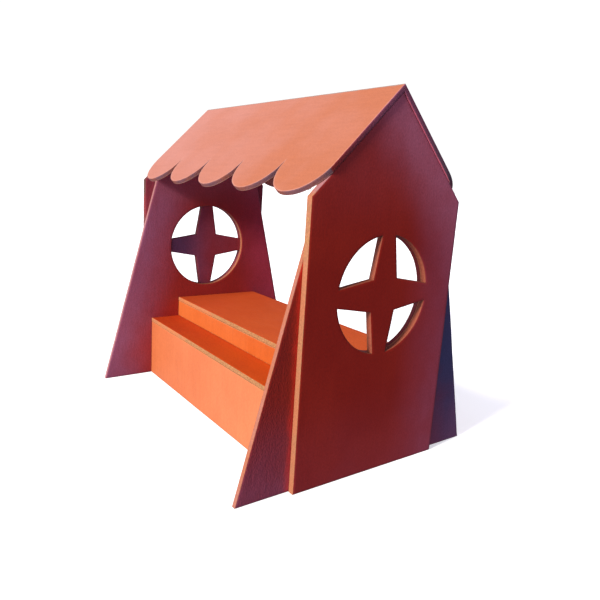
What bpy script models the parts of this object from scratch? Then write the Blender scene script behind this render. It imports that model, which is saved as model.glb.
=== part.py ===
"""Gabled open birdhouse in painted plywood: a doubled wall at each end, a scalloped roof and a stepped base.

X runs along the ridge, with the right-hand end at +X. The front, with the lower step, faces -Y. +Z is up.
The origin is on the ground, under the middle of the house.
"""

import math

import bmesh
import bpy
from mathutils import Euler, Matrix, Vector

# Driving sizes, in metres
LENGTH = 0.500               # over the outer faces of the two end walls
GAP = 0.0003                 # clearance that glued faces keep to each other

OUTER_BOARD = 0.009          # plywood of the outer end walls
INNER_BOARD = 0.0065         # plywood of the inner end walls
ROOF_BOARD = 0.0065          # plywood of the two roof slopes
BASE_BOARD = 0.0065          # plywood of the treads and panels

SHOULDER_WIDTH = 0.250       # outer wall, where the gable starts
SHOULDER_HEIGHT = 0.361
OUTER_FOOT_WIDTH = 0.248
INNER_FOOT_WIDTH = 0.400     # inner wall, on the ground
INNER_HEAD_WIDTH = 0.212     # inner wall, at the height of the outer wall's shoulders
ROOF_PITCH = math.radians(45.0)

WINDOW_RADIUS = 0.076
WINDOW_HEIGHT = 0.2415       # from the ground to the centre of the window
CROSS_HUB_HALF = 0.021       # half width of a glazing arm at the middle of the window
CROSS_TIP_HALF = 0.012       # half width of a glazing arm at the rim

ROOF_OVERHANG = 0.002        # past the outer face of each outer wall
NOTCH_RISE = 0.0405          # up the slope, from the foot of the gable to the notches between the scallops
SCALLOPS = 5

BASE_FRONT = 0.1125          # from the middle to the face of the front panel
BASE_BACK = 0.1085           # from the middle to the face of the back panel
RISER_FRONT = 0.059          # from the middle to the face of the upper riser
TREAD_TOP = 0.107
PLATFORM_TOP = 0.143

CLEAT = 0.012                # square pine strip inside the base and under the roof
CLEAT_LIFT = 0.004           # from the ground to the foot of an upright cleat
RIDGE_STRIP = 0.014          # square strip that fills the corner under the ridge
GABLE_STRIP_START = 0.018    # down the slope, from the ridge to the top of a gable strip
GABLE_STRIP_INSET = 0.004    # up the slope, from the notches to the foot of a gable strip

SCREW_HEAD_RADIUS = 0.003
SCREW_HEAD_HEIGHT = 0.0018
SCREW_RIM = 0.0003           # straight rim above the head's taper
SCREW_RADIUS = 0.0015
SCREW_POINT = 0.003          # length of the tapered point
SCREW_SIDES = 10
WALL_SCREW = 0.025           # reaches through a cleat and the inner wall, into the outer wall
SHORT_SCREW = 0.016          # reaches through a cleat, into a board of the roof or the base
RECESS_ARM = 0.0016          # from the middle of a screw head to the end of a recess arm
RECESS_HALF = 0.0003         # half width of a recess arm
RECESS_DEPTH = 0.0011

WALL_SCREW_SHARES = {        # along each cleat, from its front or its foot
    "front_corner_cleat": (0.22, 0.76),
    "tread_cleat": (0.50,),
    "platform_cleat": (0.22, 0.78),
    "back_corner_cleat": (0.20, 0.78),
}
BOARD_SCREW_SHARES = {       # screws up into the board that lies on the cleat
    "tread_cleat": ("lower_tread", 0.20),
    "platform_cleat": ("platform", 0.50),
}
GABLE_SCREW_SHARE = 0.50     # along a gable strip, for the screw into the walls
ROOF_SCREW_SHARES = (0.20, 0.80)

RIM_STEPS = 12               # straight steps in the rim of one window opening
ROUND_STEPS = 48             # straight steps in the round window
SCALLOP_STEPS = 20           # straight steps in the half circle of a scallop
SHARP_ANGLE = math.radians(30.0)

RED_PAINT = (0.16, 0.012, 0.016)
ORANGE_PAINT = (0.80, 0.22, 0.07)
BARE_PINE = (0.62, 0.43, 0.24)
ZINC_PLATE = (0.70, 0.69, 0.64)

# Sizes that follow
SLOPE = math.tan(ROOF_PITCH)
COS_PITCH = math.cos(ROOF_PITCH)
SIN_PITCH = math.sin(ROOF_PITCH)
OUTER_FACE = LENGTH / 2
OUTER_BACK = OUTER_FACE - OUTER_BOARD
INNER_FACE = OUTER_BACK - GAP
INNER_BACK = INNER_FACE - INNER_BOARD
CLEAR_END = INNER_BACK - GAP
GABLE_PEAK = SHOULDER_HEIGHT + SLOPE * SHOULDER_WIDTH / 2
ROOF_UNDER_PEAK = GABLE_PEAK + GAP / COS_PITCH
RIDGE_TOP = ROOF_UNDER_PEAK + ROOF_BOARD / COS_PITCH
ROOF_LENGTH = LENGTH + 2 * ROOF_OVERHANG
SCALLOP_RADIUS = ROOF_LENGTH / (2 * SCALLOPS)
NOTCH_DISTANCE = SHOULDER_WIDTH / 2 / COS_PITCH - NOTCH_RISE  # from the ridge, down the slope
GABLE_STRIP_LENGTH = NOTCH_DISTANCE - GABLE_STRIP_INSET - GABLE_STRIP_START
TREAD_UNDER = TREAD_TOP - BASE_BOARD
PLATFORM_UNDER = PLATFORM_TOP - BASE_BOARD
RISER_BACK = RISER_FRONT - BASE_BOARD
CLEAT_X = CLEAR_END - CLEAT / 2

SIDES = (("right", 1), ("left", -1))
SLOPES = (("front", -1), ("back", 1))


def clear_scene():
    for old in list(bpy.data.objects):
        bpy.data.objects.remove(old, do_unlink=True)


def new_collection(name):
    made = bpy.data.collections.new(name)
    bpy.context.scene.collection.children.link(made)
    return made


def new_material(name, colour, roughness, metallic=0.0):
    material = bpy.data.materials.new(name)
    material.use_nodes = True
    shader = material.node_tree.nodes["Principled BSDF"]
    shader.inputs["Base Color"].default_value = (*colour, 1.0)
    shader.inputs["Roughness"].default_value = roughness
    shader.inputs["Metallic"].default_value = metallic
    material.diffuse_color = (*colour, 1.0)
    return material


def take(obj, name, material):
    """Names a finished shape and files it among the parts."""
    obj.name = name
    obj.data.materials.clear()
    obj.data.materials.append(material)
    for owner in list(obj.users_collection):
        owner.objects.unlink(obj)
    parts.objects.link(obj)
    return obj


def take_cutter(obj, name):
    obj.name = name
    obj.hide_render = True
    obj.display_type = "WIRE"
    for owner in list(obj.users_collection):
        owner.objects.unlink(obj)
    cutters.objects.link(obj)
    return obj


def box(low, high, origin=None):
    """A box between two corners. Its object's origin is in its middle, unless one is given."""
    low = Vector(low)
    high = Vector(high)
    middle = (low + high) / 2
    place = middle if origin is None else Vector(origin)
    bpy.ops.mesh.primitive_cube_add(size=1.0, location=place)
    made = bpy.context.object
    made.data.transform(Matrix.Translation(middle - place) @ Matrix.Diagonal((*(high - low), 1.0)))
    return made


def between(low, high, share):
    return low + share * (high - low)


def arc(centre, radius, start, end, steps):
    """Points on an arc, both ends included, with angles in radians."""
    points = []
    for step in range(steps + 1):
        angle = start + (end - start) * step / steps
        points.append((centre[0] + radius * math.cos(angle), centre[1] + radius * math.sin(angle)))
    return points


def board(outline, thickness):
    """A flat board: a closed outline on its own XY plane, with its thickness centred on that plane."""
    curve = bpy.data.curves.new("outline", "CURVE")
    curve.dimensions = "2D"
    curve.fill_mode = "BOTH"
    curve.extrude = thickness / 2
    line = curve.splines.new("POLY")
    line.points.add(len(outline) - 1)
    for point, (across, up) in zip(line.points, outline):
        point.co = (across, up, 0.0, 1.0)
    line.use_cyclic_u = True
    drawn = bpy.data.objects.new("outline", curve)
    bpy.context.scene.collection.objects.link(drawn)
    return as_mesh(drawn)


def as_mesh(drawn):
    """The evaluated object as a mesh object with welded corners, in place of the one that drew it."""
    bpy.context.view_layer.update()
    graph = bpy.context.evaluated_depsgraph_get()
    mesh = bpy.data.meshes.new_from_object(drawn.evaluated_get(graph))
    solid = bpy.data.objects.new(drawn.name, mesh)
    solid.matrix_world = drawn.matrix_world
    bpy.context.scene.collection.objects.link(solid)
    bpy.data.objects.remove(drawn, do_unlink=True)
    weld(mesh)
    mesh.shade_smooth()
    mesh.set_sharp_from_angle(angle=SHARP_ANGLE)
    return solid


def weld(mesh):
    work = bmesh.new()
    work.from_mesh(mesh)
    bmesh.ops.remove_doubles(work, verts=work.verts, dist=0.00001)
    bmesh.ops.recalc_face_normals(work, faces=work.faces)
    work.to_mesh(mesh)
    work.free()


def stand_up(wall, middle):
    """Turns a wall's outline upright, across the house, with its middle plane at this X."""
    wall.rotation_euler = (math.pi / 2, 0.0, math.pi / 2)
    wall.location = (middle, 0.0, 0.0)
    return wall


def subtract(solid, cutter):
    """Cuts one shape from a board, as a Boolean that stays on the board."""
    cut = solid.modifiers.new("cut " + cutter.name, "BOOLEAN")
    cut.operation = "DIFFERENCE"
    cut.solver = "EXACT"
    cut.object = cutter


# Windows
def pane_outline():
    """The upper right opening between two tapered arms and the rim, about the window's centre."""
    tip_angle = math.asin(CROSS_TIP_HALF / WINDOW_RADIUS)
    rim = arc((0.0, 0.0), WINDOW_RADIUS, tip_angle, math.pi / 2 - tip_angle, RIM_STEPS)
    return [(CROSS_HUB_HALF, CROSS_HUB_HALF)] + rim


def pane_cutter(name, middle, thickness, mirror_y, mirror_z):
    outline = [(mirror_y * across, mirror_z * up + WINDOW_HEIGHT) for across, up in pane_outline()]
    return take_cutter(stand_up(board(outline, 2 * thickness), middle), name)


def cut_panes(wall, side, middle):
    for high, mirror_z in (("upper", 1), ("lower", -1)):
        for depth, mirror_y in SLOPES:
            name = f"pane_{high}_{depth}_{side}"
            subtract(wall, pane_cutter(name, middle, OUTER_BOARD, mirror_y, mirror_z))


def cut_round_window(wall, side, middle):
    outline = arc((0.0, WINDOW_HEIGHT), WINDOW_RADIUS, 0.0, 2 * math.pi, ROUND_STEPS)[:-1]
    hole = take_cutter(stand_up(board(outline, 2 * INNER_BOARD), middle), f"round_window_{side}")
    subtract(wall, hole)


# End walls
def outer_wall_outline():
    foot = OUTER_FOOT_WIDTH / 2
    shoulder = SHOULDER_WIDTH / 2
    return [
        (-foot, 0.0),
        (foot, 0.0),
        (shoulder, SHOULDER_HEIGHT),
        (0.0, GABLE_PEAK),
        (-shoulder, SHOULDER_HEIGHT),
    ]


def inner_wall_outline():
    """A trapezium whose slanting edges run up until they meet the roof, with the gable on top."""
    foot = INNER_FOOT_WIDTH / 2
    taper = (foot - INNER_HEAD_WIDTH / 2) / SHOULDER_HEIGHT
    eave = (foot - taper * GABLE_PEAK) / (1 - taper / SLOPE)
    eave_height = GABLE_PEAK - SLOPE * eave
    return [(-foot, 0.0), (foot, 0.0), (eave, eave_height), (0.0, GABLE_PEAK), (-eave, eave_height)]


def make_walls(side, sign):
    outer_middle = sign * (OUTER_FACE + OUTER_BACK) / 2
    inner_middle = sign * (INNER_FACE + INNER_BACK) / 2
    outer = stand_up(board(outer_wall_outline(), OUTER_BOARD), outer_middle)
    inner = stand_up(board(inner_wall_outline(), INNER_BOARD), inner_middle)
    take(outer, f"outer_end_wall_{side}", red)
    take(inner, f"inner_end_wall_{side}", red)
    cut_panes(outer, side, outer_middle)
    cut_round_window(inner, side, inner_middle)
    return {"outer": outer, "inner": inner}


# Roof
def scallop_waste():
    """What is sawn from a slope's lower edge, seen square to the slope: all that lies below its scallops."""
    end = ROOF_LENGTH / 2
    outer_end = end + SCALLOP_RADIUS
    below = -NOTCH_DISTANCE - 2 * SCALLOP_RADIUS
    row = []
    for number in range(SCALLOPS):
        centre = ((2 * number + 1) * SCALLOP_RADIUS - end, -NOTCH_DISTANCE)
        row += arc(centre, SCALLOP_RADIUS, math.pi, 2 * math.pi, SCALLOP_STEPS)[:-1]
    row += [(end, -NOTCH_DISTANCE), (outer_end, -NOTCH_DISTANCE), (outer_end, below), (-outer_end, below)]
    return [(-outer_end, -NOTCH_DISTANCE)] + row


def cut_scallops(panel, slope):
    """Saws the waste from a slope's lower edge, which leaves its half-round scallops."""
    waste = board(scallop_waste(), 4 * ROOF_BOARD)
    waste.location = panel.location
    waste.rotation_euler = panel.rotation_euler
    subtract(panel, take_cutter(waste, f"scallop_waste_{slope}"))


def slope_frame(sign):
    """The turn of a slope: its own Y runs up to the ridge, its own Z points out of the roof."""
    return Euler((ROOF_PITCH, 0.0, 0.0 if sign < 0 else math.pi))


def slope_point(sign, along, down, depth):
    """A point under a slope: along X, down from the ridge, and below the slope's underside."""
    across = down * COS_PITCH - depth * SIN_PITCH
    height = ROOF_UNDER_PEAK - down * SIN_PITCH - depth * COS_PITCH
    return Vector((along, sign * across, height))


def make_roof():
    """Two slopes, each mitred on the upright plane through the ridge."""
    made = {}
    half = ROOF_LENGTH / 2
    sawn_off = -NOTCH_DISTANCE - 1.5 * SCALLOP_RADIUS
    for slope, sign in SLOPES:
        panel = box((-half, sawn_off, -ROOF_BOARD), (half, 0.0, 0.0), origin=(0.0, 0.0, 0.0))
        panel.location = (0.0, 0.0, RIDGE_TOP)
        panel.rotation_euler = slope_frame(sign)
        take(panel, f"roof_board_{slope}", orange)
        cut_scallops(panel, slope)
        subtract(panel, mitre_cutter(slope, sign))
        made[slope] = panel
    return made


def mitre_cutter(slope, sign):
    """A block over the far side of the ridge, which bevels a slope's top edge upright."""
    reach = 2 * ROOF_BOARD
    sides = sorted((sign * GAP / 2, -sign * reach))
    low = (-ROOF_LENGTH, sides[0], RIDGE_TOP - 2 * reach)
    high = (ROOF_LENGTH, sides[1], RIDGE_TOP + reach)
    return take_cutter(box(low, high), f"ridge_mitre_{slope}")


# Stepped base
def make_base():
    end = CLEAR_END
    pieces = {
        "front_panel": ((-end, -BASE_FRONT, 0.0), (end, BASE_BOARD - BASE_FRONT, TREAD_UNDER - GAP)),
        "lower_tread": ((-end, -BASE_FRONT, TREAD_UNDER), (end, -RISER_BACK, TREAD_TOP)),
        "upper_riser": ((-end, -RISER_FRONT, TREAD_TOP + GAP), (end, -RISER_BACK, PLATFORM_UNDER - GAP)),
        "platform": ((-end, -RISER_FRONT, PLATFORM_UNDER), (end, BASE_BACK, PLATFORM_TOP)),
        "back_panel": ((-end, BASE_BACK - BASE_BOARD, 0.0), (end, BASE_BACK, PLATFORM_UNDER - GAP)),
    }
    return {name: take(box(*corners), name, orange) for name, corners in pieces.items()}


def cleat_spans():
    """Where the four cleats at one end lie along Y and Z: front, back, foot and top."""
    front = BASE_BOARD - BASE_FRONT + GAP
    back = BASE_BACK - BASE_BOARD - GAP
    under_tread = TREAD_UNDER - GAP
    under_platform = PLATFORM_UNDER - GAP
    return {
        "front_corner_cleat": (front, front + CLEAT, CLEAT_LIFT, under_tread),
        "tread_cleat": (front + CLEAT + GAP, -RISER_BACK, under_tread - CLEAT, under_tread),
        "platform_cleat": (GAP - RISER_BACK, back - CLEAT - GAP, under_platform - CLEAT, under_platform),
        "back_corner_cleat": (back - CLEAT, back, CLEAT_LIFT, under_platform),
    }


def make_cleats(side, sign):
    """The four pine cleats inside the base at one end."""
    ends = sorted((sign * CLEAR_END, sign * (CLEAR_END - CLEAT)))
    made = {}
    for name, (front, back, foot, top) in cleat_spans().items():
        cleat = box((ends[0], front, foot), (ends[1], back, top))
        made[name] = take(cleat, f"{name}_{side}", pine)
    return made


def make_tread_rail():
    """The pine rail under the tread's back edge, from cleat to cleat."""
    end = CLEAR_END - CLEAT - GAP
    top = TREAD_UNDER - GAP
    return take(box((-end, -RISER_BACK - CLEAT, top - CLEAT), (end, -RISER_BACK, top)), "tread_rail", pine)


# Strips under the roof
def make_ridge_strip():
    """A square strip stood on its corner, with a face against each slope."""
    half = RIDGE_STRIP / 2
    made = box((-CLEAR_END, -half, -half), (CLEAR_END, half, half))
    made.location = (0.0, 0.0, ROOF_UNDER_PEAK - (half + GAP) / COS_PITCH)
    made.rotation_euler = (ROOF_PITCH, 0.0, 0.0)
    return take(made, "ridge_strip", pine)


def make_gable_strip(side, sign, slope, facing):
    """A strip down the slope, in the corner between the roof and the inner wall."""
    half = Vector((CLEAT, GABLE_STRIP_LENGTH, CLEAT)) / 2
    made = box(-half, half)
    made.location = slope_point(facing, sign * CLEAT_X, gable_strip_station(0.5), GAP + CLEAT / 2)
    made.rotation_euler = slope_frame(facing)
    return take(made, f"gable_strip_{slope}_{side}", pine)


def gable_strip_station(share):
    """Down the slope to a point this share of the way along a gable strip."""
    return GABLE_STRIP_START + share * GABLE_STRIP_LENGTH


# Screws
def screw_profile(length, spare):
    """A countersunk screw's outline down its outer side, with this much added all round."""
    head = SCREW_HEAD_RADIUS + spare
    shank = SCREW_RADIUS + spare
    return [
        (0.0, spare),
        (head, spare),
        (head, -SCREW_RIM),
        (shank, -SCREW_HEAD_HEIGHT),
        (shank, SCREW_POINT - length),
        (0.0, -length - spare),
    ]


def turned(profile):
    """A profile turned about Z, as a mesh."""
    mesh = bpy.data.meshes.new("profile")
    edges = [(first, first + 1) for first in range(len(profile) - 1)]
    mesh.from_pydata([(radius, 0.0, height) for radius, height in profile], edges, [])
    drawn = bpy.data.objects.new("profile", mesh)
    bpy.context.scene.collection.objects.link(drawn)
    screw = drawn.modifiers.new("turn", "SCREW")
    screw.steps = SCREW_SIDES
    screw.render_steps = SCREW_SIDES
    screw.use_merge_vertices = True
    screw.merge_threshold = 0.00001
    return as_mesh(drawn)


def screw_mesh(length):
    """One countersunk screw, head up at the origin, which every screw of its length shares."""
    whole = turned(screw_profile(length, 0.0))
    for arm, (across, up) in (("x", (RECESS_ARM, RECESS_HALF)), ("y", (RECESS_HALF, RECESS_ARM))):
        slot = box((-across, -up, -RECESS_DEPTH), (across, up, RECESS_DEPTH))
        subtract(whole, take_cutter(slot, f"recess_{arm}_{length * 1000:.0f}"))
    solid = as_mesh(whole)
    mesh = solid.data
    bpy.data.objects.remove(solid, do_unlink=True)
    return mesh


def drive_screw(name, length, head, direction, through):
    """A screw from its head's place along a direction, and the hole for it in each piece it passes."""
    turn = Vector(direction).to_track_quat("-Z", "Y").to_euler()
    screw = bpy.data.objects.new(name, screws[length])
    screw.location = head
    screw.rotation_euler = turn
    bpy.context.scene.collection.objects.link(screw)
    take(screw, name, zinc)
    hole = turned(screw_profile(length, GAP))
    hole.location = head
    hole.rotation_euler = turn
    take_cutter(hole, f"hole_{name}")
    for piece in through:
        subtract(piece, hole)


def drive_wall_screws(side, sign, walls, cleats):
    """Screws through the base's cleats and the inner wall, into the outer wall."""
    for cleat, (front, back, foot, top) in cleat_spans().items():
        upright = top - foot > back - front
        for number, share in enumerate(WALL_SCREW_SHARES[cleat], 1):
            across = between(front, back, 0.5 if upright else share)
            height = between(foot, top, share if upright else 0.5)
            head = (sign * (CLEAR_END - CLEAT), across, height)
            through = (cleats[cleat], walls["inner"], walls["outer"])
            drive_screw(f"{cleat}_screw_{side}_{number}", WALL_SCREW, head, (sign, 0.0, 0.0), through)


def drive_board_screws(side, sign, base, cleats):
    """Screws up through a cleat, into the board that lies on it."""
    for cleat, (resting, share) in BOARD_SCREW_SHARES.items():
        front, back, foot, _ = cleat_spans()[cleat]
        head = (sign * CLEAT_X, between(front, back, share), foot)
        through = (cleats[cleat], base[resting])
        drive_screw(f"{resting}_screw_{side}", SHORT_SCREW, head, (0.0, 0.0, 1.0), through)


def drive_gable_screws(side, sign, slope, facing, gable_strip, walls, roof):
    """One screw through a gable strip into the walls, and two up into the roof."""
    station = gable_strip_station(GABLE_SCREW_SHARE)
    head = slope_point(facing, sign * (CLEAR_END - CLEAT), station, GAP + CLEAT / 2)
    through = (gable_strip, walls["inner"], walls["outer"])
    drive_screw(f"gable_strip_screw_{slope}_{side}", WALL_SCREW, head, (sign, 0.0, 0.0), through)
    outward = (0.0, facing * SIN_PITCH, COS_PITCH)
    for number, share in enumerate(ROOF_SCREW_SHARES, 1):
        head = slope_point(facing, sign * CLEAT_X, gable_strip_station(share), GAP + CLEAT)
        name = f"roof_screw_{slope}_{side}_{number}"
        drive_screw(name, SHORT_SCREW, head, outward, (gable_strip, roof[slope]))


clear_scene()
parts = new_collection("birdhouse")
cutters = new_collection("birdhouse_cutters")
cutters.hide_render = True
red = new_material("red_paint", RED_PAINT, 0.55)
orange = new_material("orange_paint", ORANGE_PAINT, 0.5)
pine = new_material("bare_pine", BARE_PINE, 0.75)
zinc = new_material("zinc_plate", ZINC_PLATE, 0.35, 1.0)

screws = {length: screw_mesh(length) for length in (WALL_SCREW, SHORT_SCREW)}
roof = make_roof()
base = make_base()
make_tread_rail()
make_ridge_strip()
for side, sign in SIDES:
    walls = make_walls(side, sign)
    cleats = make_cleats(side, sign)
    drive_wall_screws(side, sign, walls, cleats)
    drive_board_screws(side, sign, base, cleats)
    for slope, facing in SLOPES:
        gable_strip = make_gable_strip(side, sign, slope, facing)
        drive_gable_screws(side, sign, slope, facing, gable_strip, walls, roof)
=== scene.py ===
"""Looks for the gabled birdhouse: finer boards with rounded arrises, rolled paint, bare pine and zinc.

Lengths are in metres, in the frame of the CAD model: X along the ridge, the front facing -Y, Z up.
"""

import math

import bmesh
import bpy
from mathutils import Matrix, Vector, geometry, noise


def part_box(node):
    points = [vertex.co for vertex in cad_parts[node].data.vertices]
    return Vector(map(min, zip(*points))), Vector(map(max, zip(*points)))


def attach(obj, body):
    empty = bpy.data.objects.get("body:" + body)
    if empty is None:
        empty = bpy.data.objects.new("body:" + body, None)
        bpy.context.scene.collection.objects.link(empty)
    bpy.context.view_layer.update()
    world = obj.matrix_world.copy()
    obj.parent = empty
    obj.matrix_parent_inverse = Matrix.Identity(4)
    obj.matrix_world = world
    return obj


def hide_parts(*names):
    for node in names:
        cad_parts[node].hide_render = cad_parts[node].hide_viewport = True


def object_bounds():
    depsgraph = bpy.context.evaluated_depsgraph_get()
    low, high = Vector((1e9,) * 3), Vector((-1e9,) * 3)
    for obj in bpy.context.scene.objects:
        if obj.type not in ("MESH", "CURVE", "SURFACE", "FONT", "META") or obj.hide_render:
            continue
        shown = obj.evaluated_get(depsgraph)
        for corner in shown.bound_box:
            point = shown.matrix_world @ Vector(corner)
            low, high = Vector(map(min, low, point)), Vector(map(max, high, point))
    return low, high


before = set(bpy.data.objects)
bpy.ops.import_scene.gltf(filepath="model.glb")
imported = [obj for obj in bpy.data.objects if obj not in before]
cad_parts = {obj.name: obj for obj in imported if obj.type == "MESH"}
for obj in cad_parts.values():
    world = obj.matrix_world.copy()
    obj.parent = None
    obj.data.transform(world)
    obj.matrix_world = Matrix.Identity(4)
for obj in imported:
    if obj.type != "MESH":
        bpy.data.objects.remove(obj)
cad_low, cad_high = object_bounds()

# Sizes that the boxes of the CAD nodes don't give
SHOULDER_HALF = 0.125        # outer wall, where the gable starts
SHOULDER_HEIGHT = 0.361
OUTER_FOOT_HALF = 0.124
INNER_FOOT_HALF = 0.200      # inner wall, on the ground
INNER_HEAD_HALF = 0.106      # inner wall, at the height of the outer wall's shoulders
INNER_TAPER = (INNER_FOOT_HALF - INNER_HEAD_HALF) / SHOULDER_HEIGHT
WINDOW_RADIUS = 0.076
WINDOW_HEIGHT = 0.2415
HUB_HALF = 0.021             # half width of a glazing arm at the middle of the window
TIP_HALF = 0.012             # half width of a glazing arm at the rim
SCALLOPS = 5
NOTCH_RISE = 0.0405          # up the slope, from the foot of the gable to the notches between the scallops
NOTCH_DISTANCE = SHOULDER_HALF * math.sqrt(2) - NOTCH_RISE  # from the ridge, down the slope
ROOF_BOARD = 0.0065

# How a board is finished
ARRIS = 0.0007               # radius of a rounded arris
ARRIS_STEPS = 3
SCALLOP_STEPS = 48
WINDOW_STEPS = 160           # round the plain window of an inner wall
PANE_STEPS = 40              # round the rim of one opening in an outer wall
BAND = 0.004                 # width of the strip of face along an edge that has its own ring of points
STEP = 0.006                 # longest straight step along an outline
WAVER = 0.00028              # most that a sawn edge strays inwards
BROAD_WAVER = 22             # waves in it, about so many to a metre
FINE_WAVER = 90
PINE_ARRIS = 0.0005
HALF_GAP = 0.00002           # from the upright plane through the ridge to the mitred edge of a slope
MITRE_REACH = 0.02           # down a slope, where its points still move with the mitre
HAIRPIN = 0.2                # shortest sum of two normals that still gives a direction into the wood
LEAST_COSINE = 0.35          # keeps the inset at a sharp corner short
SHARP_ANGLE = math.radians(34)
MM = 1000.0


# Outlines
def arc(centre, radius, start, end, steps):
    points = []
    for step in range(steps + 1):
        angle = start + (end - start) * step / steps
        points.append((centre[0] + radius * math.cos(angle), centre[1] + radius * math.sin(angle)))
    return points


def resampled(points):
    """The closed outline with extra points, so that no straight step is longer than STEP."""
    made = []
    for first, second in zip(points, points[1:] + points[:1]):
        first, second = Vector(first), Vector(second)
        steps = max(1, math.ceil((second - first).length / STEP))
        made += [tuple(first.lerp(second, step / steps)) for step in range(steps)]
    return made


def inset_directions(points):
    """At each point of a closed outline, the way into the wood, scaled so that its sides move evenly."""
    made = []
    count = len(points)
    for at in range(count):
        here = Vector(points[at])
        before = (here - Vector(points[at - 1])).normalized()
        after = (Vector(points[(at + 1) % count]) - here).normalized()
        left_before = Vector((-before.y, before.x))
        left_after = Vector((-after.y, after.x))
        middle = left_before + left_after
        if middle.length < HAIRPIN:
            middle = before - after
        middle.normalize()
        made.append(middle / max(LEAST_COSINE, middle.dot(left_before)))
    return made


def waver(point, seed):
    """How far a sawn and sanded edge strays inwards at this point, from 0 to 1."""
    broad = Vector((point[0] * BROAD_WAVER, point[1] * BROAD_WAVER, seed * 7.31))
    fine = Vector((point[0] * FINE_WAVER, point[1] * FINE_WAVER, seed * 3.77))
    return min(1.0, max(0.0, 0.5 + 0.75 * noise.noise(broad) + 0.35 * noise.noise(fine)))


def ring_profile(thickness):
    """(inset, height) from the rim of the lower face, round both arrises, to the rim of the upper face."""
    half = thickness / 2
    lower = [(BAND, -half)]
    for step in range(ARRIS_STEPS + 1):
        angle = math.pi / 2 * step / ARRIS_STEPS
        lower.append((ARRIS * (1 - math.sin(angle)), -half + ARRIS * (1 - math.cos(angle))))
    middle = [(0.0, -half + ARRIS + (thickness - 2 * ARRIS) * share) for share in (0.33, 0.67)]
    upper = [(inset, -height) for inset, height in reversed(lower)]
    return lower + middle + upper


def pane(across_sign, up_sign):
    """The opening between two tapered glazing arms and the rim, in one quarter of a window, clockwise."""
    tip = math.asin(TIP_HALF / WINDOW_RADIUS)
    rim = arc((0.0, 0.0), WINDOW_RADIUS, tip, math.pi / 2 - tip, PANE_STEPS)
    points = [(HUB_HALF, HUB_HALF)] + rim
    placed = [(across_sign * across, up_sign * up + WINDOW_HEIGHT) for across, up in points]
    return placed[::-1] if across_sign * up_sign > 0 else placed


def outer_wall_loops(low, high):
    outline = [
        (-OUTER_FOOT_HALF, low.z),
        (OUTER_FOOT_HALF, low.z),
        (high.y, SHOULDER_HEIGHT),
        (0.0, high.z),
        (low.y, SHOULDER_HEIGHT),
    ]
    return [outline] + [pane(across, up) for across in (-1, 1) for up in (-1, 1)]


def inner_wall_loops(low, high):
    """The flared wall, whose sloping sides run up to meet the roof, and its plain round window."""
    eave = (high.y - INNER_TAPER * high.z) / (1 - INNER_TAPER)
    eave_height = high.z - eave
    outline = [
        (low.y, low.z),
        (high.y, low.z),
        (eave, eave_height),
        (0.0, high.z),
        (-eave, eave_height),
    ]
    window = arc((0.0, WINDOW_HEIGHT), WINDOW_RADIUS, 2 * math.pi, 0.0, WINDOW_STEPS)[:-1]
    return [outline, window]


def roof_loops(length):
    """One slope seen square to it, with the ridge along the top and half-round scallops below."""
    radius = length / (2 * SCALLOPS)
    row = []
    for number in range(SCALLOPS):
        centre = ((2 * number + 1) * radius - length / 2, -NOTCH_DISTANCE)
        row += arc(centre, radius, math.pi, 2 * math.pi, SCALLOP_STEPS)[:-1]
    row.append((length / 2, -NOTCH_DISTANCE))
    return [row + [(length / 2, 0.0), (-length / 2, 0.0)]]


def rectangle(low, high):
    return [[(low[0], low[1]), (high[0], low[1]), (high[0], high[1]), (low[0], high[1])]]


# Boards
def mitred(spot):
    """Moves a point near the ridge, so that a slope's top edge is straight, has small arrises and stands
    upright on the plane through the ridge."""
    if spot.y > -2 * ARRIS:
        spot.y = 0.5 * min(0.0, spot.y + WAVER)
    if spot.y > -MITRE_REACH:
        spot.y += spot.z - ROOF_BOARD / 2 - HALF_GAP * math.sqrt(2)
    return spot


def edge_rings(work, layers, loop, is_opening, thickness, to_space, seed):
    """The rings of points round one outline, from the rim of the lower face to the rim of the upper one."""
    points = resampled(loop)
    ways = inset_directions(points)
    rings = []
    for inset, height in ring_profile(thickness):
        ring = []
        for point, way in zip(points, ways):
            flat = Vector(point) + way * (inset + WAVER * waver(point, seed))
            vertex = work.verts.new(to_space(Vector((flat.x, flat.y, height))))
            vertex[layers["inset_mm"]] = inset * MM
            vertex[layers["across"]] = 2 * height / thickness
            vertex[layers["opening"]] = float(is_opening)
            ring.append(vertex)
        rings.append(ring)
    return rings


def join_rings(work, rings):
    count = len(rings[0])
    for lower, upper in zip(rings, rings[1:]):
        for at in range(count):
            after = (at + 1) % count
            work.faces.new((lower[at], lower[after], upper[after], upper[at]))


def fill_face(work, rims, to_flat):
    """Fills a face of the board, between the rim of its outline and the rims of its openings."""
    corners = [vertex for rim in rims for vertex in rim]
    flat_rims = [[to_flat @ vertex.co for vertex in rim] for rim in rims]
    for triangle in geometry.tessellate_polygon(flat_rims):
        work.faces.new([corners[at] for at in triangle])


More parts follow.
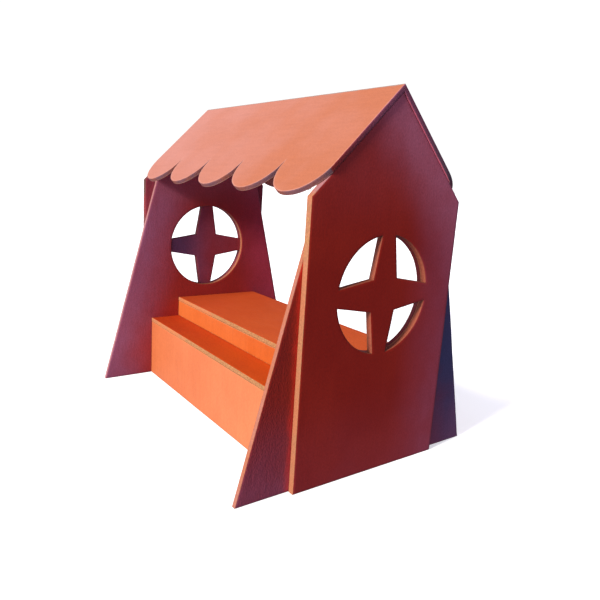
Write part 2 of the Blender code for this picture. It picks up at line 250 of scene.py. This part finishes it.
def solid_board(name, loops, thickness, place, seed, shift=None):
    """A board from closed outlines: the first goes round it, the others are openings that run clockwise.

    Its points carry how far in from the nearest edge they are, how far across the thickness (-1 to 1), and
    whether they belong to an opening. shift moves points in the board's own frame, before it is placed."""
    def to_space(spot):
        return place @ (shift(spot) if shift else spot)

    mesh = bpy.data.meshes.new(name)
    work = bmesh.new()
    layers = {key: work.verts.layers.float.new(key) for key in ("inset_mm", "across", "opening")}
    lower_rims, upper_rims = [], []
    for number, loop in enumerate(loops):
        rings = edge_rings(work, layers, loop, number > 0, thickness, to_space, seed)
        join_rings(work, rings)
        lower_rims.append(rings[0])
        upper_rims.append(rings[-1])
    fill_face(work, lower_rims, place.inverted())
    fill_face(work, upper_rims, place.inverted())
    bmesh.ops.recalc_face_normals(work, faces=work.faces)
    work.to_mesh(mesh)
    work.free()
    mesh.shade_smooth()
    mesh.set_sharp_from_angle(angle=SHARP_ANGLE)
    made = bpy.data.objects.new(name, mesh)
    bpy.context.scene.collection.objects.link(made)
    return made


# Shader building
EVEN = (1.0, 1.0, 1.0)
ZERO = (0.0, 0.0, 0.0)
ALONG = {"X": (0.10, 1.0, 1.0), "Y": (1.0, 0.10, 1.0), "Z": (1.0, 1.0, 0.10)}  # stretches a noise into grain


class Paint:
    """A material whose nodes are added one call at a time."""

    def __init__(self, name):
        self.material = bpy.data.materials.new(name)
        self.material.use_nodes = True
        self.tree = self.material.node_tree
        self.shader = self.tree.nodes["Principled BSDF"]
        self.place = self.add("ShaderNodeTexCoord").outputs["Object"]

    def add(self, kind, inputs=None, **settings):
        node = self.tree.nodes.new(kind)
        for key, value in settings.items():
            setattr(node, key, value)
        for key, value in (inputs or {}).items():
            self.feed(node.inputs[key], value)
        return node

    def feed(self, socket, value):
        if isinstance(value, bpy.types.NodeSocket):
            self.tree.links.new(value, socket)
        else:
            socket.default_value = value

    def noise(
        self, scale, detail=3.0, roughness=0.55, stretch=EVEN, offset=ZERO, turn=ZERO, distortion=0.0
    ):
        stretched = self.add(
            "ShaderNodeMapping",
            {"Vector": self.place, "Scale": stretch, "Location": offset, "Rotation": turn},
        )
        node = self.add(
            "ShaderNodeTexNoise",
            {
                "Vector": stretched.outputs["Vector"],
                "Scale": scale,
                "Detail": detail,
                "Roughness": roughness,
                "Distortion": distortion,
            },
        )
        return node.outputs["Fac"]

    def attribute(self, name):
        return self.add("ShaderNodeAttribute", attribute_name=name).outputs["Fac"]

    def axis(self, name):
        return self.add("ShaderNodeSeparateXYZ", {"Vector": self.place}).outputs[name]

    def math(self, operation, first, second=0.0, clamp=False):
        node = self.add("ShaderNodeMath", operation=operation, use_clamp=clamp)
        self.feed(node.inputs[0], first)
        self.feed(node.inputs[1], second)
        return node.outputs[0]

    def plus(self, first, second, clamp=False):
        return self.math("ADD", first, second, clamp)

    def minus(self, first, second):
        return self.math("SUBTRACT", first, second)

    def times(self, first, second):
        return self.math("MULTIPLY", first, second)

    def absolute(self, value):
        return self.math("ABSOLUTE", value)

    def span(self, value, low, high, to_low=0.0, to_high=1.0, smooth=True):
        """The value's range from low to high turned into to_low to to_high, and held there past its ends."""
        node = self.add(
            "ShaderNodeMapRange",
            {"Value": value, "From Min": low, "From Max": high, "To Min": to_low, "To Max": to_high},
            interpolation_type="SMOOTHSTEP" if smooth else "LINEAR",
        )
        return node.outputs["Result"]

    def mix(self, factor, first, second, blend="MIX"):
        node = self.add("ShaderNodeMix", data_type="RGBA", blend_type=blend)
        self.feed(node.inputs["Factor"], factor)
        for socket, colour in (("A", first), ("B", second)):
            is_linked = isinstance(colour, bpy.types.NodeSocket)
            self.feed(node.inputs[socket], colour if is_linked else (*colour, 1.0))
        return node.outputs["Result"]

    def lit(self, colour, factor):
        """The colour made lighter or darker by a factor that varies."""
        grey = self.add("ShaderNodeCombineColor", {"Red": factor, "Green": factor, "Blue": factor})
        return self.mix(1.0, colour, grey.outputs["Color"], "MULTIPLY")

    def bump(self, height, distance, under=None):
        node = self.add("ShaderNodeBump", {"Height": height, "Distance": distance})
        if under is not None:
            self.feed(node.inputs["Normal"], under)
        return node.outputs["Normal"]

    def finish(self, colour, roughness, normal=None, specular=0.5):
        self.feed(self.shader.inputs["Base Color"], colour)
        self.feed(self.shader.inputs["Roughness"], roughness)
        if normal is not None:
            self.feed(self.shader.inputs["Normal"], normal)
        self.shader.inputs["Specular IOR Level"].default_value = specular
        return self.material


# Colours, linear: the red walls
RED = (0.3350, 0.0205, 0.0080)
RED_DEEP = (0.2900, 0.0150, 0.0055)
SEAM_RED = (0.6200, 0.0240, 0.0120)
# Painted light on the red paint: plum, rose, lilac and crimson stand in for the sky's sheen and for light in
# the shade, navy for shadow
PLUM = (0.3450, 0.0960, 0.1650)
ROSE = (0.4600, 0.1250, 0.1800)
LILAC = (0.3550, 0.1200, 0.2100)
CRIMSON = (0.5600, 0.0480, 0.0950)
NAVY = (0.0850, 0.0720, 0.1650)
# The roof and the base
ROOF_ORANGE = (0.2630, 0.0850, 0.0410)
ROOF_PALER = (0.2920, 0.1220, 0.0920)
ROOF_RIM = (0.3300, 0.1650, 0.1250)
# RIDGE_GREY is a painted sky reflection, UNDERSIDE_PINK a painted highlight
RIDGE_GREY = (0.1700, 0.1350, 0.1200)
UNDERSIDE_PINK = (0.4200, 0.0800, 0.1250)
ORANGE = (0.3750, 0.1100, 0.0410)
ORANGE_DEEP = (0.3150, 0.0800, 0.0270)
# The base is one orange paint: the redder copies for treads, platform and riser are painted bounce light
TREAD_ORANGE = (0.4450, 0.0590, 0.0060)
TREAD_DEEP = (0.3600, 0.0340, 0.0070)
PLATFORM_ORANGE = (0.4450, 0.0780, 0.0180)
PLATFORM_DEEP = (0.3950, 0.0520, 0.0120)
# The riser's right end, in RISER_ORANGE, is darker as painted shade
RISER_ORANGE = (0.2850, 0.0490, 0.0050)
RISER_BRIGHT = (0.3350, 0.0760, 0.0170)
# The sawn edges
EDGE_ORANGE = (0.2820, 0.1020, 0.0480)
EDGE_TAN = (0.2620, 0.1120, 0.0560)
EDGE_RUSTY = (0.2620, 0.0850, 0.0390)
EDGE_ROSY = (0.2580, 0.0960, 0.0640)
EDGE_PINK = (0.2450, 0.1050, 0.1050)
BASE_ORANGE = (0.3500, 0.1200, 0.0440)
BASE_TAN = (0.3000, 0.1200, 0.0560)
# Where they colour window rims, WINDOW_EDGE and MAROON are painted shade
WINDOW_EDGE = (0.2100, 0.0550, 0.0300)
MAROON = (0.1800, 0.0260, 0.0270)
MAUVE = (0.1200, 0.0600, 0.0750)
DULL_BROWN = (0.0800, 0.0420, 0.0320)
RUST = (0.1900, 0.0600, 0.0400)
END_RED = (0.1600, 0.0120, 0.0080)
END_PLUM = (0.2000, 0.0550, 0.0900)
BARE_PLY = (0.2650, 0.1250, 0.0530)
DARK_PLY = (0.1500, 0.0580, 0.0240)
# Inside
PINE = (0.5600, 0.3700, 0.1900)
PINE_DARK = (0.3600, 0.1900, 0.0800)
ZINC = (0.6200, 0.6100, 0.5700)
ZINC_DULL = (0.4600, 0.4300, 0.3600)


# Sawn edges
PLIES = 5
GROOVE = 0.0002              # depth of the lines between the plies
EVENLY_PAINTED = (0.0, 0.0)  # bareness of an edge whose paint wears through in few places
BARE = (0.74, 0.84)          # wear at which the wood starts to show, and is all that shows
LOWER_ARRIS = (-0.45, -0.8)  # where it starts across the thickness, and has its full colour
BOARD_END = 0.0008           # from the end of a slope, where the red paint is full


def plain_edge(main, patchy, opening=None, gable=None):
    """A coat of thin paint in two shades, with painted shade on the rims of the openings, which lie in
    shadow, and a painted highlight on the gable's lit arris.
    """
    def coat(paint, across, patches):
        colour = paint.mix(paint.span(patches, 0.35, 0.65), main, patchy)
        # Above the shoulders: a painted highlight on the gable's lit arris
        above = paint.span(paint.axis("Z"), SHOULDER_HEIGHT, SHOULDER_HEIGHT + 0.01)
        colour = paint.mix(above, colour, gable or main)
        # In the openings: painted shade on rims that lie in shadow
        colour = paint.mix(paint.attribute("opening"), colour, opening or main)
        return paint.mix(paint.span(across, *LOWER_ARRIS), colour, main)
    return coat


def roof_edge(scallop, patchy, lower, end):
    """A coat for a slope: its scallops, their lower arris, and the board's ends, which took red paint.
    The paler lower arris is a painted highlight, and the plum high up the ends painted sheen.
    """
    def coat(paint, across, patches):
        colour = paint.mix(paint.span(patches, 0.35, 0.65), scallop, patchy)
        # The lower arris: a painted highlight
        colour = paint.mix(paint.span(across, *LOWER_ARRIS), colour, lower)
        # Plum high up the ends: painted sheen
        red = paint.mix(paint.span(paint.axis("Z"), 0.38, 0.48), end, END_PLUM)
        from_middle = paint.absolute(paint.axis("X"))
        at_end = paint.span(from_middle, cad_high.x - 1.5 * BOARD_END, cad_high.x - BOARD_END)
        return paint.mix(at_end, colour, red)
    return coat


def ply_edge(paint, coat, bareness, seed):
    """The colour of a sawn plywood edge, how much of it is bare, and where its dark plies are.

    coat makes the paint's colour, and bareness is a pair, for the left and the right end of the house."""
    across = paint.attribute("across")
    patches = paint.noise(26.0, 4.0, 0.6, offset=(seed, 0.0, 0.0))
    fine = paint.noise(420.0, 2.0, 0.6, offset=(0.0, seed, 0.0))
    waves = paint.math("COSINE", paint.times(across, PLIES * math.pi / 2))
    dark = paint.span(paint.absolute(waves), 0.0, 0.35, 1.0, 0.0)
    wood = paint.mix(dark, BARE_PLY, DARK_PLY)
    wood = paint.lit(wood, paint.span(fine, 0.3, 0.7, 0.75, 1.2))
    painted_edge = paint.lit(coat(paint, across, patches), paint.span(fine, 0.25, 0.75, 0.86, 1.1))
    wear_and_sheen = paint.plus(patches, paint.times(dark, 0.10))
    wear_and_sheen = paint.plus(wear_and_sheen, paint.times(fine, 0.12))
    wear_and_sheen = paint.minus(wear_and_sheen, paint.times(paint.attribute("opening"), 0.1))
    wear_and_sheen = paint.plus(wear_and_sheen, paint.span(paint.axis("X"), -0.2, 0.0, *bareness))
    bare = paint.span(wear_and_sheen, *BARE)
    return paint.mix(bare, painted_edge, wood), bare, dark


# Painted boards
FACE_STARTS = (0.45, 0.75)   # mm in from an edge, where the thin paint gives way to the rolled paint
BORDER_STRAY = 1.6           # mm over which that border wanders


def roller_height(paint, grain, seed):
    """The stipple that a roller leaves with the grain of the plywood faint under it, then each of the two."""
    stipple = paint.noise(520.0, 2.0, 0.55, stretch=(1.0, 1.0, 0.62), offset=(seed, seed, 0.0))
    coarse = paint.noise(150.0, 2.0, 0.5, offset=(0.0, seed, seed))
    veins = paint.noise(210.0, 3.0, 0.6, stretch=ALONG[grain], offset=(seed, 0.0, seed))
    height = paint.plus(paint.times(stipple, 0.62), paint.times(coarse, 0.25))
    return paint.plus(height, paint.times(veins, 0.22)), stipple, veins


def painted(
    name, seed, face, coat, grain="Z", bareness=EVENLY_PAINTED,
    stipple_depth=0.0004, specular=0.3, dullness=0.5,
):
    """Rolled paint on the faces, coloured by face, and thin paint on the sawn edges, coloured by coat.

    grain is the plywood's, bareness is for ply_edge, and dullness is the roughness of the faces."""
    paint = Paint(name)
    height, stipple, veins = roller_height(paint, grain, seed)
    face_colour = face(paint, stipple, veins, seed)
    edge_colour, bare, plies = ply_edge(paint, coat, bareness, seed)
    ragged = paint.noise(140.0, 3.0, 0.6, offset=(seed, seed, seed))
    border = paint.plus(paint.attribute("inset_mm"), paint.times(paint.minus(ragged, 0.5), BORDER_STRAY))
    on_face = paint.span(border, *FACE_STARTS)
    uneven = paint.noise(34.0, 3.0, 0.5, offset=(0.0, 0.0, seed))
    roughness = paint.add("ShaderNodeMix", data_type="FLOAT")
    paint.feed(roughness.inputs["Factor"], on_face)
    paint.feed(roughness.inputs["A"], paint.span(bare, 0.0, 1.0, 0.55, 0.85))
    paint.feed(roughness.inputs["B"], paint.span(uneven, 0.3, 0.7, dullness - 0.03, dullness + 0.03))
    grooves = paint.times(plies, paint.minus(1.0, on_face))
    normal = paint.bump(height, stipple_depth)
    normal = paint.bump(paint.times(grooves, -1.0), GROOVE, normal)
    colour = paint.mix(on_face, edge_colour, face_colour)
    return paint.finish(colour, roughness.outputs["Result"], normal, specular)


# Red paint, with tints of painted light
PAINTED_LIGHT_REACH = 0.10           # how far painted light reaches in from a wall's front or back edge
SLOPE_REACH = 0.14           # how far down it reaches from the back slope
LOW_PAINTED_LIGHT = (0.14, -0.02)    # heights between which low painted light grows to its full strength
HIGH_PAINTED_LIGHT = (0.30, 0.46)
FAINT_LOW = (0.12, 0.0)      # the same for the faint painted sheen of the other face, and its strengths
FAINT_HIGH = (0.34, 0.48)
FAINT_STRENGTHS = (0.20, 0.35)
SEAM_STRAY = 0.022          # how far the edge of the brighter red wanders
SEAM_FADE = (0.021, 0.011)  # distances, with the stray added, between which it grows to its full strength


def edge_painted_light(paint, colour, from_edge, strength, tint, where):
    """Painted light that fades from a wall's front or back edge inwards, and stops just past the edge: a tint
    of sheen, or of shadow where the tint is navy.
    """
    painted_light = paint.span(from_edge, PAINTED_LIGHT_REACH, 0.0, 0.0, strength)
    painted_light = paint.times(painted_light, paint.span(from_edge, -0.03, -0.01))
    return paint.mix(paint.times(painted_light, where), colour, tint)


def seam_brightening(paint, colour, strength, where, seed):
    """Brighter red, ragged, along the line where the outer wall's front edge meets the inner wall."""
    from_seam = paint.absolute(paint.plus(paint.axis("Y"), OUTER_FOOT_HALF))
    seam_noise = paint.noise(80.0, 4.0, 0.7, stretch=(1.0, 1.0, 0.4), offset=(seed, 0.0, seed))
    ragged = paint.plus(from_seam, paint.times(seam_noise, SEAM_STRAY))
    brighter = paint.span(ragged, *SEAM_FADE, 0.0, strength)
    brighter = paint.times(brighter, paint.span(paint.axis("Z"), 0.0, 0.2, 0.5, 1.0))
    return paint.mix(paint.times(brighter, where), colour, SEAM_RED)


def red_coat(
    depth, foot=OUTER_FOOT_HALF, lean=0.0, front=0.0, front_tint=PLUM, back=0.0, back_tint=PLUM,
    slope=0.0, low=0.0, high=0.0, overall=0.0, tint=PLUM, seam=0.0,
):
    """Dark red paint with painted light: tints for the sky's sheen, for light in the shade and for shadow.
    The face towards the right end has them along its front and back edges, in tints of their own, and under
    the back slope, low, high and overall. The other face has a faint painted sheen.

    depth darkens the paint, foot is how far from the middle the edges are on the ground, lean is how fast
    they come closer, and seam is the strength of the brighter red beside the outer wall."""
    def face(paint, stipple, veins, seed):
        across = paint.axis("Y")
        height = paint.axis("Z")
        clouds = paint.noise(9.0, 3.0, 0.55, offset=(seed, 0.0, 0.0))
        colour = paint.mix(paint.span(clouds, 0.32, 0.68), RED_DEEP, RED)
        drift = paint.noise(16.0, 4.0, 0.6, offset=(0.0, seed, 0.0))
        drift = paint.span(drift, 0.25, 0.75, 0.6, 1.0)
        shown = paint.span(paint.attribute("across"), -0.5, 0.5)
        where = paint.times(drift, shown)

        edge = paint.minus(foot, paint.times(height, lean))
        # Painted sheen along the front and back edges, and painted shadow where their tint is navy
        colour = edge_painted_light(paint, colour, paint.plus(edge, across), front, front_tint, where)
        colour = edge_painted_light(paint, colour, paint.minus(edge, across), back, back_tint, where)

        # Painted light under the back slope, low down, high up and all over: the sky's sheen, and lighter red
        # in the shade under the roof
        below_slope = paint.minus(paint.minus(cad_high.z, height), across)
        painted_light = paint.span(height, *LOW_PAINTED_LIGHT, 0.0, low)
        painted_light = paint.plus(painted_light, paint.span(height, *HIGH_PAINTED_LIGHT, 0.0, high))
        painted_light = paint.plus(painted_light, paint.span(below_slope, SLOPE_REACH, 0.0, 0.0, slope))
        painted_light = paint.plus(painted_light, overall, clamp=True)
        colour = paint.mix(paint.times(painted_light, where), colour, tint)

        # A faint painted sheen on the face towards the left end
        faint_sheen = paint.span(height, *FAINT_LOW, 0.0, FAINT_STRENGTHS[0])
        faint_sheen = paint.plus(faint_sheen, paint.span(height, *FAINT_HIGH, 0.0, FAINT_STRENGTHS[1]))
        faint_sheen = paint.times(faint_sheen, paint.minus(1.0, shown))
        colour = paint.mix(paint.times(faint_sheen, drift), colour, PLUM)

        colour = paint.lit(colour, paint.span(stipple, 0.25, 0.75, 0.88 * depth, 1.12 * depth))
        colour = paint.lit(colour, paint.span(veins, 0.3, 0.7, 0.975, 1.025))
        return seam_brightening(paint, colour, seam, where, seed)
    return face


WALLS = {
    "outer_end_wall_right": {
        # Rose under the back slope and at the apex: painted sheen
        "face": red_coat(0.86, back=0.5, slope=0.9, low=0.15, high=0.2, tint=ROSE),
        "coat": plain_edge(EDGE_ORANGE, EDGE_TAN, WINDOW_EDGE, EDGE_PINK),
        "bareness": (0.10, 0.10),
        "stipple_depth": 0.0002,
        "specular": 0.2,
    },
    "inner_end_wall_right": {
        # Navy along the back edge is a painted shadow, that of the outer wall on the flare behind it
        "face": red_coat(
            0.74, INNER_FOOT_HALF, INNER_TAPER, back=1.4, back_tint=NAVY, low=0.7, high=0.3, seam=0.75
        ),
        "coat": plain_edge(EDGE_RUSTY, EDGE_ROSY, MAROON, EDGE_PINK),
        "stipple_depth": 0.0008,
    },
    "outer_end_wall_left": {
        # Navy along the front edge is a painted shadow, that of the inner wall's rim on the glazing arm
        "face": red_coat(0.9, foot=WINDOW_RADIUS, front=1.6, front_tint=NAVY, high=0.3, overall=0.45),
        "coat": plain_edge(DULL_BROWN, MAROON, MAROON),
        "stipple_depth": 0.0002,
        "specular": 0.2,
    },
    "inner_end_wall_left": {
        # Rose high up lightens the shade under the roof, and lilac and crimson along the edges are sheen: all
        # painted light
        "face": red_coat(
            0.93, INNER_FOOT_HALF, INNER_TAPER, front=1.0, front_tint=LILAC, back=0.75, back_tint=CRIMSON,
            high=2.4, overall=0.10, tint=ROSE,
        ),
        "coat": plain_edge(EDGE_PINK, EDGE_PINK, EDGE_RUSTY),
    },
}


# Orange paint
SATIN = 0.6                  # roughness
COLOUR_RUN = (0.24, -0.24)   # from the place of the right end's shade to that of the left end's, along X
ROOF_RIM_FADE = (3.6, 1.4)   # mm in from the rim, where its paler paint starts and is full
RIDGE_FADE = (0.0034, 0.0022)
OVERHANG = 0.0025            # past the outer walls, and half a millimetre more


def orange_coat(right, left):
    """Orange paint that goes from one shade at the right end to another at the left, in drifts."""
    def face(paint, stipple, veins, seed):
        drift = paint.noise(11.0, 4.0, 0.55, offset=(0.0, seed, seed))
        drift = paint.span(drift, 0.25, 0.75, -0.22, 0.22)
        share = paint.plus(paint.span(paint.axis("X"), *COLOUR_RUN, smooth=False), drift, clamp=True)
        colour = paint.mix(share, right, left)
        colour = paint.lit(colour, paint.span(stipple, 0.25, 0.75, 0.94, 1.06))
        return paint.lit(colour, paint.span(veins, 0.3, 0.7, 0.97, 1.03))
    return face


def roof_coat(paint, stipple, veins, seed):
    """Orange paler towards the left end and along the rim, with a painted grey sky reflection along the
    ridge and a painted pink highlight under the overhang.
    """
    colour = orange_coat(ROOF_ORANGE, ROOF_PALER)(paint, stipple, veins, seed)
    ragged = paint.noise(60.0, 4.0, 0.6, offset=(seed, 0.0, seed))
    rim = paint.plus(paint.attribute("inset_mm"), paint.times(ragged, 2.0))
    colour = paint.mix(paint.span(rim, *ROOF_RIM_FADE, 0.0, 0.7), colour, ROOF_RIM)
    # Painted reflection: the sky on the ridge's rounded arris, as grey
    below_ridge = paint.minus(cad_high.z, paint.axis("Z"))
    wear_and_sheen = paint.plus(below_ridge, paint.times(ragged, 0.003))
    colour = paint.mix(paint.span(wear_and_sheen, *RIDGE_FADE, 0.0, 0.8), colour, RIDGE_GREY)
    # Painted highlight: pink on the lit underside of the overhang
    from_middle = paint.absolute(paint.axis("X"))
    overhang = paint.span(from_middle, cad_high.x - 1.2 * OVERHANG, cad_high.x - OVERHANG)
    underside = paint.span(paint.attribute("across"), 0.0, -0.5)
    return paint.mix(paint.times(overhang, underside), colour, UNDERSIDE_PINK)


ROOF_EDGES = {
    "front": roof_edge(RUST, MAUVE, ROOF_RIM, END_RED),
    "back": roof_edge(MAUVE, MAROON, EDGE_PINK, MAUVE),
}
STEP_LOOKS = {"grain": "X", "bareness": (-0.12, 0.42), "specular": 0.12}
BASE = {
    "front_panel": {"face": orange_coat(ORANGE, ORANGE_DEEP)},
    "lower_tread": {"face": orange_coat(TREAD_ORANGE, TREAD_DEEP), **STEP_LOOKS},
    "upper_riser": {"face": orange_coat(RISER_ORANGE, RISER_BRIGHT)},
    "platform": {"face": orange_coat(PLATFORM_ORANGE, PLATFORM_DEEP), **STEP_LOOKS},
    "back_panel": {"face": orange_coat(ORANGE, ORANGE_DEEP)},
}


# Pine and zinc
def pine_material(name, grain, turn=ZERO):
    paint = Paint(name)
    rings = paint.noise(95.0, 4.0, 0.55, stretch=ALONG[grain], turn=turn, distortion=0.6)
    bands = paint.absolute(paint.math("SINE", paint.times(rings, 26.0)))
    fine = paint.noise(900.0, 2.0, 0.6, stretch=ALONG[grain], turn=turn)
    tone = paint.noise(18.0, 2.0, 0.5)
    colour = paint.mix(paint.span(bands, 0.15, 0.95), PINE_DARK, PINE)
    colour = paint.lit(colour, paint.span(fine, 0.3, 0.7, 0.88, 1.08))
    colour = paint.lit(colour, paint.span(tone, 0.3, 0.7, 0.85, 1.1))
    height = paint.plus(paint.times(bands, 0.5), paint.times(fine, 0.5))
    return paint.finish(colour, paint.span(fine, 0.2, 0.8, 0.6, 0.8), paint.bump(height, 0.0002), 0.35)


def zinc_material():
    paint = Paint("zinc_screws")
    frost = paint.noise(1500.0, 3.0, 0.6)
    tarnish = paint.noise(240.0, 3.0, 0.6)
    colour = paint.mix(paint.span(tarnish, 0.35, 0.7), ZINC, ZINC_DULL)
    paint.shader.inputs["Metallic"].default_value = 1.0
    return paint.finish(colour, paint.span(frost, 0.3, 0.7, 0.28, 0.46), paint.bump(frost, 0.00003))


# The pieces
def frame_matrix(across, up, out, origin):
    columns = [Vector(across), Vector(up), Vector(out)]
    turn = Matrix([[column[row] for column in columns] for row in range(3)]).to_4x4()
    return Matrix.Translation(Vector(origin)) @ turn


def put(made, node, material):
    """Files a finer board in place of its CAD node."""
    made.data.materials.append(material)
    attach(made, "root")
    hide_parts(node)


def make_walls():
    for number, side in enumerate(("right", "left")):
        for kind, loops in (("outer", outer_wall_loops), ("inner", inner_wall_loops)):
            node = f"{kind}_end_wall_{side}"
            low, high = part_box(node)
            seed = 1.7 + number * 2.9 + (kind == "inner") * 5.3
            place = frame_matrix((0, 1, 0), (0, 0, 1), (1, 0, 0), ((low.x + high.x) / 2, 0, 0))
            made = solid_board(node + "_board", loops(low, high), high.x - low.x, place, seed)
            put(made, node, painted(node + "_paint", seed, **WALLS[node]))


def make_roof():
    for number, (slope, sign) in enumerate((("front", -1), ("back", 1))):
        node = f"roof_board_{slope}"
        low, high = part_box(node)
        cosine = math.sqrt(0.5)
        out = Vector((0.0, sign * cosine, cosine))
        up = Vector((0.0, -sign * cosine, cosine))
        place = frame_matrix(up.cross(out), up, out, Vector((0, 0, high.z)) - out * ROOF_BOARD / 2)
        seed = 13.1 + number * 3.3
        made = solid_board(node + "_board", roof_loops(high.x - low.x), ROOF_BOARD, place, seed, mitred)
        paint = painted(
            f"orange_roof_{slope}", seed, roof_coat, ROOF_EDGES[slope], grain="X", dullness=SATIN
        )
        put(made, node, paint)


def make_base():
    edge = plain_edge(BASE_ORANGE, BASE_TAN)
    for number, (node, looks) in enumerate(BASE.items()):
        low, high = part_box(node)
        middle = (low + high) / 2
        seed = 21.3 + number * 1.9
        if node in ("lower_tread", "platform"):
            place = frame_matrix((1, 0, 0), (0, 1, 0), (0, 0, 1), (0, 0, middle.z))
            loops = rectangle((low.x, low.y), (high.x, high.y))
            thickness = high.z - low.z
        else:
            place = frame_matrix((1, 0, 0), (0, 0, 1), (0, -1, 0), (0, middle.y, 0))
            loops = rectangle((low.x, low.z), (high.x, high.z))
            thickness = high.y - low.y
        made = solid_board(node + "_board", loops, thickness, place, seed)
        put(made, node, painted(f"orange_{node}", seed, coat=edge, dullness=SATIN, **looks))


def soften(node):
    """Rounds the arrises of a CAD node that stays, with modifiers only."""
    node.modifiers.new("weld", "WELD").merge_threshold = 0.00001
    round_off = node.modifiers.new("arris", "BEVEL")
    round_off.width = PINE_ARRIS
    round_off.segments = 2
    round_off.limit_method = "ANGLE"
    round_off.angle_limit = math.radians(50)


def dress_cad_nodes():
    """Gives the pine and the screws, which stay as CAD nodes, their materials."""
    pitch = math.pi / 4
    pines = {
        "X": pine_material("pine_along", "X"),
        "Y": pine_material("pine_across", "Y"),
        "Z": pine_material("pine_upright", "Z"),
        "front": pine_material("pine_front_slope", "Y", (-pitch, 0.0, 0.0)),
        "back": pine_material("pine_back_slope", "Y", (pitch, 0.0, 0.0)),
    }
    zinc = zinc_material()
    for name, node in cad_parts.items():
        if node.hide_render:
            continue
        node.data.materials.clear()
        if "screw" in name:
            node.data.materials.append(zinc)
            continue
        if "corner" in name:
            grain = "Z"
        elif "gable_strip" in name:
            grain = "front" if "front" in name else "back"
        else:
            grain = "Y" if "cleat" in name else "X"
        node.data.materials.append(pines[grain])
        soften(node)


# Floor, lights and camera
FLOOR_REACH = 30.0
FLOOR_DROP = 0.0002          # below the feet of the walls


def make_floor():
    (corners,) = rectangle((-FLOOR_REACH, -FLOOR_REACH), (FLOOR_REACH, FLOOR_REACH))
    mesh = bpy.data.meshes.new("floor")
    mesh.from_pydata([(*corner, 0.0) for corner in corners], [], [(0, 1, 2, 3)])
    floor = bpy.data.objects.new("floor", mesh)
    bpy.context.scene.collection.objects.link(floor)
    floor.location.z = cad_low.z - FLOOR_DROP
    paint = Paint("pale_floor")
    tone = paint.noise(3.0, 3.0, 0.5)
    colour = paint.mix(tone, (0.70, 0.70, 0.70), (0.72, 0.72, 0.72))
    paint.shader.inputs["Emission Color"].default_value = (1.0, 1.0, 1.0, 1.0)
    paint.shader.inputs["Emission Strength"].default_value = 0.5
    floor.data.materials.append(paint.finish(colour, paint.span(tone, 0.0, 1.0, 0.9, 0.95), specular=0.1))
    floor.visible_diffuse = False
    floor.visible_glossy = False


def add_sun(name, towards, strength, colour, degrees_wide):
    """A soft sun that lights the surfaces without showing in their gloss."""
    light = bpy.data.lights.new(name, "SUN")
    light.energy = strength
    light.color = colour
    light.angle = math.radians(degrees_wide)
    lamp = bpy.data.objects.new(name, light)
    bpy.context.scene.collection.objects.link(lamp)
    lamp.rotation_mode = "QUATERNION"
    lamp.rotation_quaternion = Vector(towards).to_track_quat("Z", "Y")
    lamp.visible_glossy = False


def make_world():
    """A white backdrop to look at, and a dim cool sky that lights the object, brighter above the front."""
    world = bpy.data.worlds.new("studio")
    bpy.context.scene.world = world
    world.use_nodes = True
    tree = world.node_tree
    tree.nodes.clear()
    out = tree.nodes.new("ShaderNodeOutputWorld")
    backdrop = tree.nodes.new("ShaderNodeBackground")
    backdrop.inputs["Color"].default_value = (1.0, 1.0, 1.0, 1.0)
    backdrop.inputs["Strength"].default_value = 1.05
    sky = tree.nodes.new("ShaderNodeBackground")
    place = tree.nodes.new("ShaderNodeTexCoord")
    aim = tree.nodes.new("ShaderNodeVectorMath")
    aim.operation = "DOT_PRODUCT"
    aim.inputs[1].default_value = Vector((0.05, -0.95, 0.20)).normalized()
    height = tree.nodes.new("ShaderNodeMapRange")
    height.inputs["From Min"].default_value = -1.0
    ramp = tree.nodes.new("ShaderNodeValToRGB")
    dim, bright = ramp.color_ramp.elements
    dim.color = (0.08, 0.11, 0.21, 1.0)
    dim.position = 0.40
    bright.color = (1.05, 0.98, 1.20, 1.0)
    bright.position = 0.95
    seen = tree.nodes.new("ShaderNodeLightPath")
    choose = tree.nodes.new("ShaderNodeMixShader")
    link = tree.links.new
    link(place.outputs["Generated"], aim.inputs[0])
    link(aim.outputs["Value"], height.inputs["Value"])
    link(height.outputs["Result"], ramp.inputs["Fac"])
    link(ramp.outputs["Color"], sky.inputs["Color"])
    link(seen.outputs["Is Camera Ray"], choose.inputs["Fac"])
    link(sky.outputs[0], choose.inputs[1])
    link(backdrop.outputs[0], choose.inputs[2])
    link(choose.outputs[0], out.inputs["Surface"])


def make_camera():
    """The camera off the front right corner, just above the eaves and slightly rolled, angles in radians."""
    azimuth, elevation, roll = 0.9482, 0.2027, 0.0612
    position = (0.7449, -0.5048, 0.3791)
    back = Vector((
        math.sin(azimuth) * math.cos(elevation),
        -math.cos(azimuth) * math.cos(elevation),
        math.sin(elevation),
    ))
    right = (-back).cross(Vector((0, 0, 1))).normalized()
    up = right.cross(-back)
    turned_right = math.cos(roll) * right + math.sin(roll) * up
    turned_up = -math.sin(roll) * right + math.cos(roll) * up
    camera = bpy.data.objects.new("camera", bpy.data.cameras.new("camera"))
    bpy.context.scene.collection.objects.link(camera)
    camera.matrix_world = frame_matrix(turned_right, turned_up, back, position)
    camera.data.sensor_width = 36.0
    camera.data.lens = 33.75
    camera.data.shift_x = 0.0205
    camera.data.shift_y = -0.0104
    camera.data.clip_start = 0.01
    bpy.context.scene.camera = camera


make_camera()
make_walls()
make_roof()
make_base()
dress_cad_nodes()
make_floor()
add_sun("key", towards=(0.09, -0.91, 0.38), strength=7.9, colour=(1.0, 0.96, 0.90), degrees_wide=12.0)
add_sun("back_fill", towards=(-0.25, 0.92, 0.14), strength=4.6, colour=(0.98, 0.96, 1.0), degrees_wide=24.0)
make_world()
bpy.context.scene.view_settings.view_transform = "Standard"
